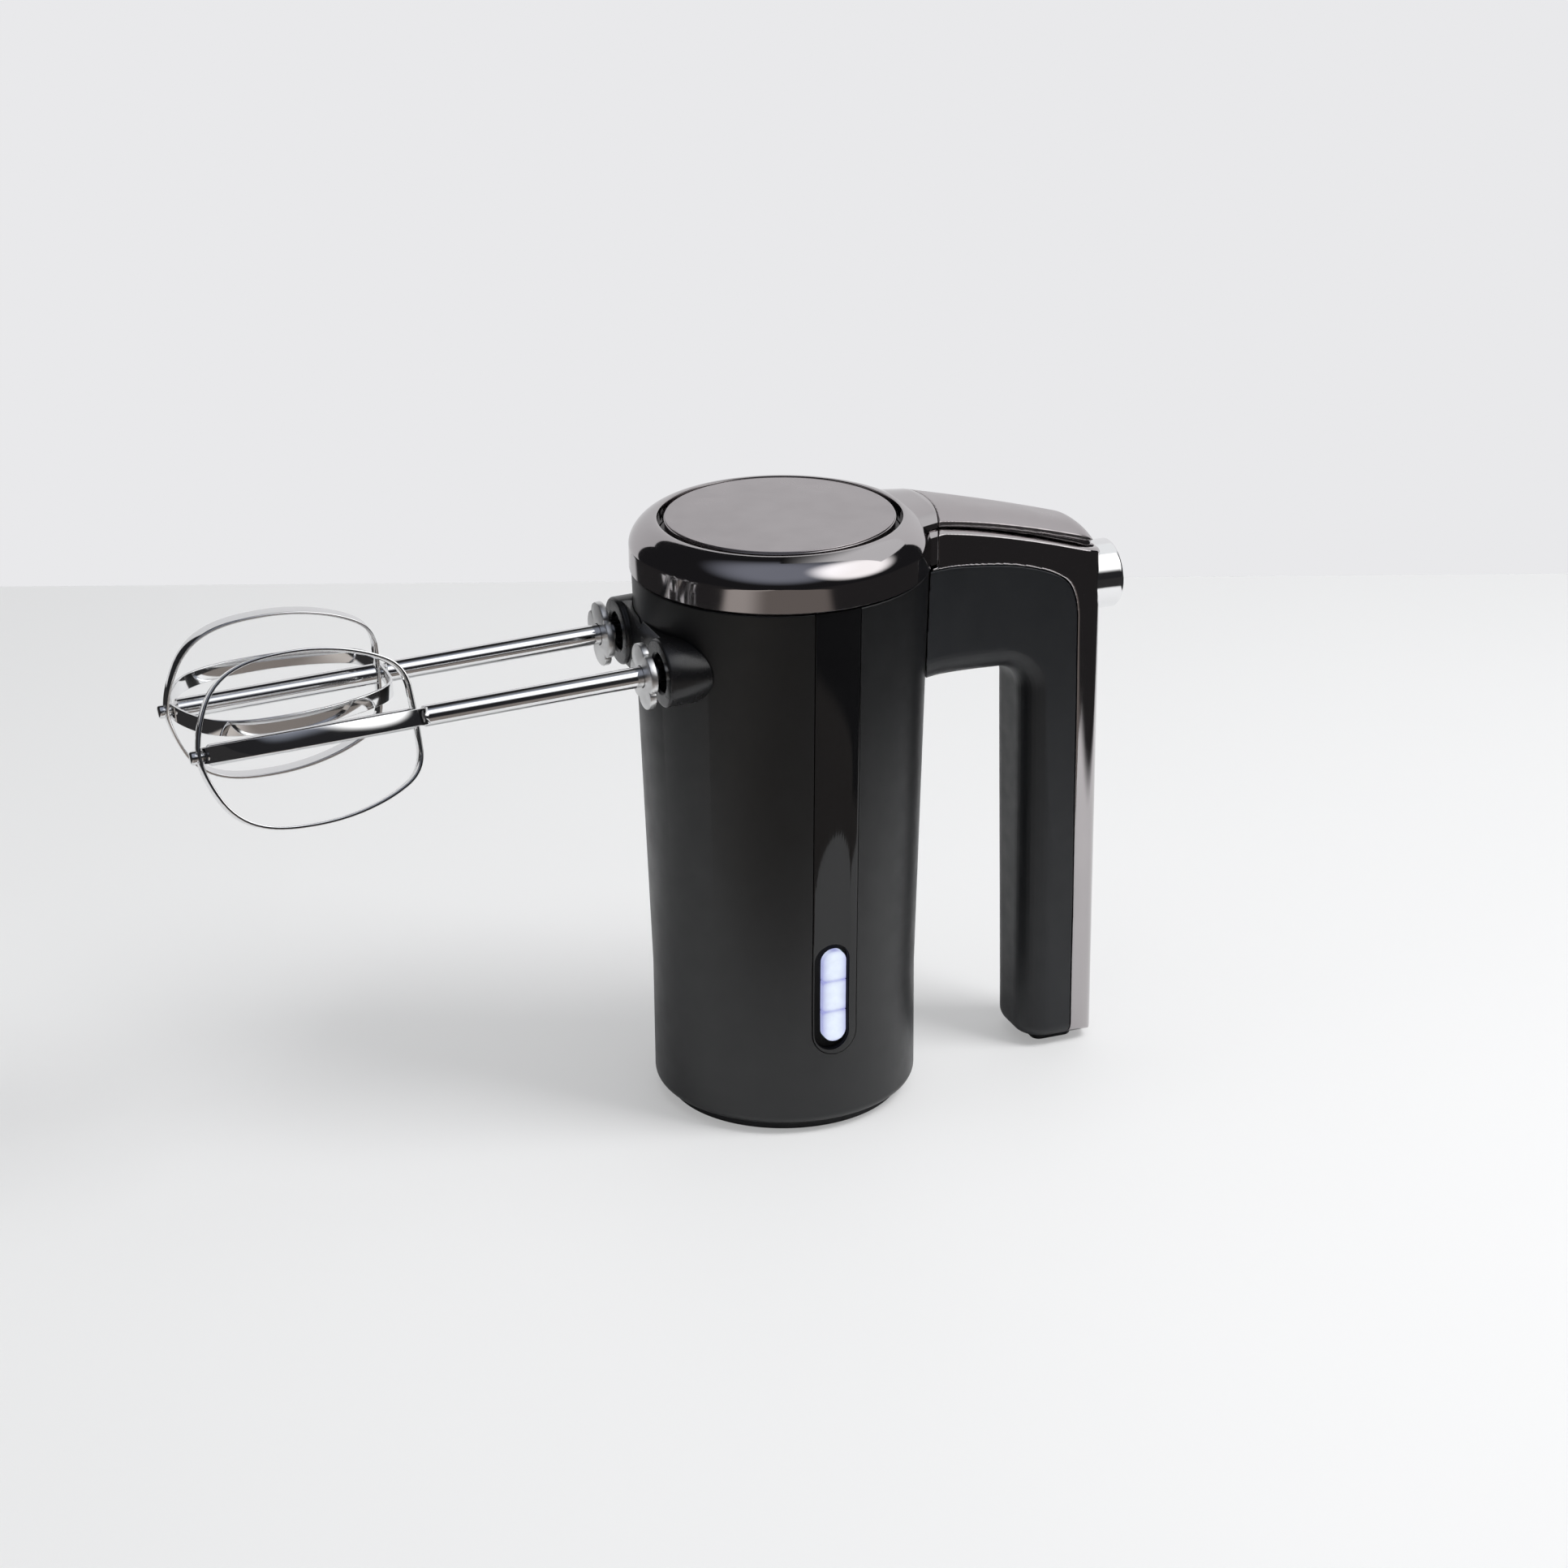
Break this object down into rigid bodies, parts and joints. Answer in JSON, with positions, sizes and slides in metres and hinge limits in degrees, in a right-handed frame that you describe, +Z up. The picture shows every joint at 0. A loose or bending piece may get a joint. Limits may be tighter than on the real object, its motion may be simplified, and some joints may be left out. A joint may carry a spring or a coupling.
{
  "type": "cordless hand mixer",
  "caption": "Cordless hand mixer standing on its round body, with a looped handle, an eject button, a top dial and twin meshing wire-loop beaters",
  "frame": {"origin": "centre of the flat underside of the foot, on the surface that the mixer stands on", "axes": "+Z up along the body, beaters point to -X, handle on +X, indicator strip faces -Y"},
  "size_m": [0.3141, 0.096, 0.1983],
  "materials": {
    "body_plastic": "fine matte moulded",
    "inner_plastic": "plain moulded",
    "rubber": "matte",
    "steel": "bright turned",
    "cell_wrap": "shrink wrap",
    "circuit_board": "solder mask",
    "gloss_plastic": "piano black",
    "lens": "diffusing white",
    "dark_chrome": "smoked mirror plate",
    "gunmetal": "satin metallic",
    "grip": "soft touch",
    "chrome": "mirror",
    "nylon": "natural nylon",
    "brass": "sintered"
  },
  "bodies": {
    "housing": {"body_shell": "body_plastic", "beater_boss": "body_plastic", "base_cap": "inner_plastic", "battery_holder": "inner_plastic", "dial_sensor": "inner_plastic", "handle_core": "inner_plastic", "button_guide": "inner_plastic", "motor_end_cap": "inner_plastic", "motor_magnet": "inner_plastic", "gearbox_frame": "inner_plastic", "foot_pad": "rubber", "handle_foot": "rubber", "base_screw_1": "steel", "base_screw_2": "steel", "base_screw_3": "steel", "handle_screw_1": "steel", "handle_screw_2": "steel", "motor_screw_1": "steel", "motor_screw_2": "steel", "motor_can": "steel", "eject_spring": "steel", "battery_cell_1": "cell_wrap", "battery_cell_2": "cell_wrap", "battery_cell_3": "cell_wrap", "led_board": "circuit_board", "control_board": "circuit_board", "charge_socket": "gloss_plastic", "inlay_strip": "gloss_plastic", "dial_seat": "gloss_plastic", "led_lens": "lens", "top_ring": "dark_chrome", "handle_spine": "dark_chrome", "handle_cover": "gunmetal", "handle_grip": "grip", "motor_bearing": "brass", "worm_bush": "brass", "spindle_bush_left_front": "brass", "spindle_bush_left_rear": "brass", "spindle_bush_right_front": "brass", "spindle_bush_right_rear": "brass"},
    "rotor": {"motor_rotor": "brass", "motor_shaft": "steel", "worm": "steel", "cooling_fan": "inner_plastic"},
    "spindle_left": {"spindle_left": "steel", "worm_wheel_left": "nylon"},
    "spindle_right": {"spindle_right": "steel", "worm_wheel_right": "nylon"},
    "beater_left": {"beater_left_shaft": "chrome", "beater_left_collar": "chrome", "beater_left_loop_flat": "chrome", "beater_left_loop_upright": "chrome"},
    "beater_right": {"beater_right_shaft": "chrome", "beater_right_collar": "chrome", "beater_right_loop_flat": "chrome", "beater_right_loop_upright": "chrome"},
    "eject": {"eject_button": "chrome", "eject_rod": "nylon"},
    "dial": {"speed_dial": "gunmetal"}
  },
  "joints": [
    {"name": "motor_spin", "type": "hinge", "parent": "housing", "child": "rotor", "pos_m": [0, 0, 0.11], "axis": [0, 0, 1], "continuous": true},
    {"name": "spindle_left_spin", "type": "hinge", "parent": "housing", "child": "spindle_left", "pos_m": [0, 0.02041, 0.16024], "axis": [0.9994, 0, 0.0358], "continuous": true},
    {"name": "spindle_right_spin", "type": "hinge", "parent": "housing", "child": "spindle_right", "pos_m": [0, -0.02041, 0.16024], "axis": [0.9994, 0, 0.0358], "continuous": true},
    {"name": "eject", "type": "slide", "parent": "housing", "child": "eject", "axis": [-1, 0, 0], "range_m": [0, 0.006], "stiffness_N_per_m": 600, "springref_m": -0.002, "deforming": ["eject_spring"]},
    {"name": "beater_left_release", "type": "slide", "parent": "spindle_left", "child": "beater_left", "axis": [-0.9994, 0, -0.0358], "range_m": [0, 0.006]},
    {"name": "beater_right_release", "type": "slide", "parent": "spindle_right", "child": "beater_right", "axis": [-0.9994, 0, -0.0358], "range_m": [0, 0.006]},
    {"name": "speed_dial_turn", "type": "hinge", "parent": "housing", "child": "dial", "pos_m": [0, 0, 0.195], "axis": [0, 0, 1], "range_deg": [0, 270]}
  ],
  "couplings": [
    {"joint": "spindle_left_spin", "follows": "motor_spin", "ratio": 0.041667},
    {"joint": "spindle_right_spin", "follows": "motor_spin", "ratio": -0.041667},
    {"joint": "beater_left_release", "follows": "eject", "ratio": 1},
    {"joint": "beater_right_release", "follows": "eject", "ratio": 1}
  ]
}
